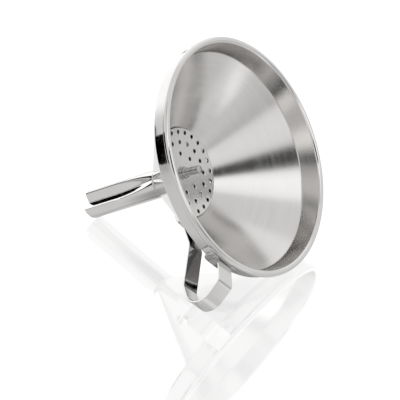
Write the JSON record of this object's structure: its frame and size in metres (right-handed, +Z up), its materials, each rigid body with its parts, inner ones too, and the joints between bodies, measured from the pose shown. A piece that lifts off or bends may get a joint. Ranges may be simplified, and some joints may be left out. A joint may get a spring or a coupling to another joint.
{
  "type": "canning funnel",
  "caption": "Stainless steel canning funnel with a folded rim, a grooved spout, a welded strip handle and a lift-out strainer with a pin.",
  "frame": {"origin": "on the table, under the middle of the part's box, with the funnel lying on its skirt's edge, spout tip and handle", "axes": "+Z up from the table; the mouth faces +X and is tilted up by 27 degrees; the handle is on the -Y side"},
  "size_m": [0.1376, 0.1361, 0.1184],
  "materials": {
    "brushed_body": "stainless sheet, brushed in rings inside and polished outside",
    "polished_spout": "polished stainless tube",
    "weld": "ground weld",
    "polished_handle": "polished stainless strip",
    "satin_strainer": "satin stainless plate with punched holes",
    "turned_pin": "turned and polished stainless"
  },
  "bodies": {
    "funnel": {"funnel_body": "brushed_body", "spout_tube": "polished_spout", "spout_weld_seam": "weld", "handle_strip": "polished_handle", "handle_spot_welds": "weld"},
    "strainer": {"strainer_plate": "satin_strainer", "strainer_pin": "turned_pin", "pin_front_washer": "turned_pin", "pin_rear_washer": "turned_pin"}
  },
  "joints": [
    {"name": "strainer_lift", "type": "slide", "parent": "funnel", "child": "strainer", "axis": [0.8893, 0, 0.4574], "range_m": [0, 0.07]}
  ]
}
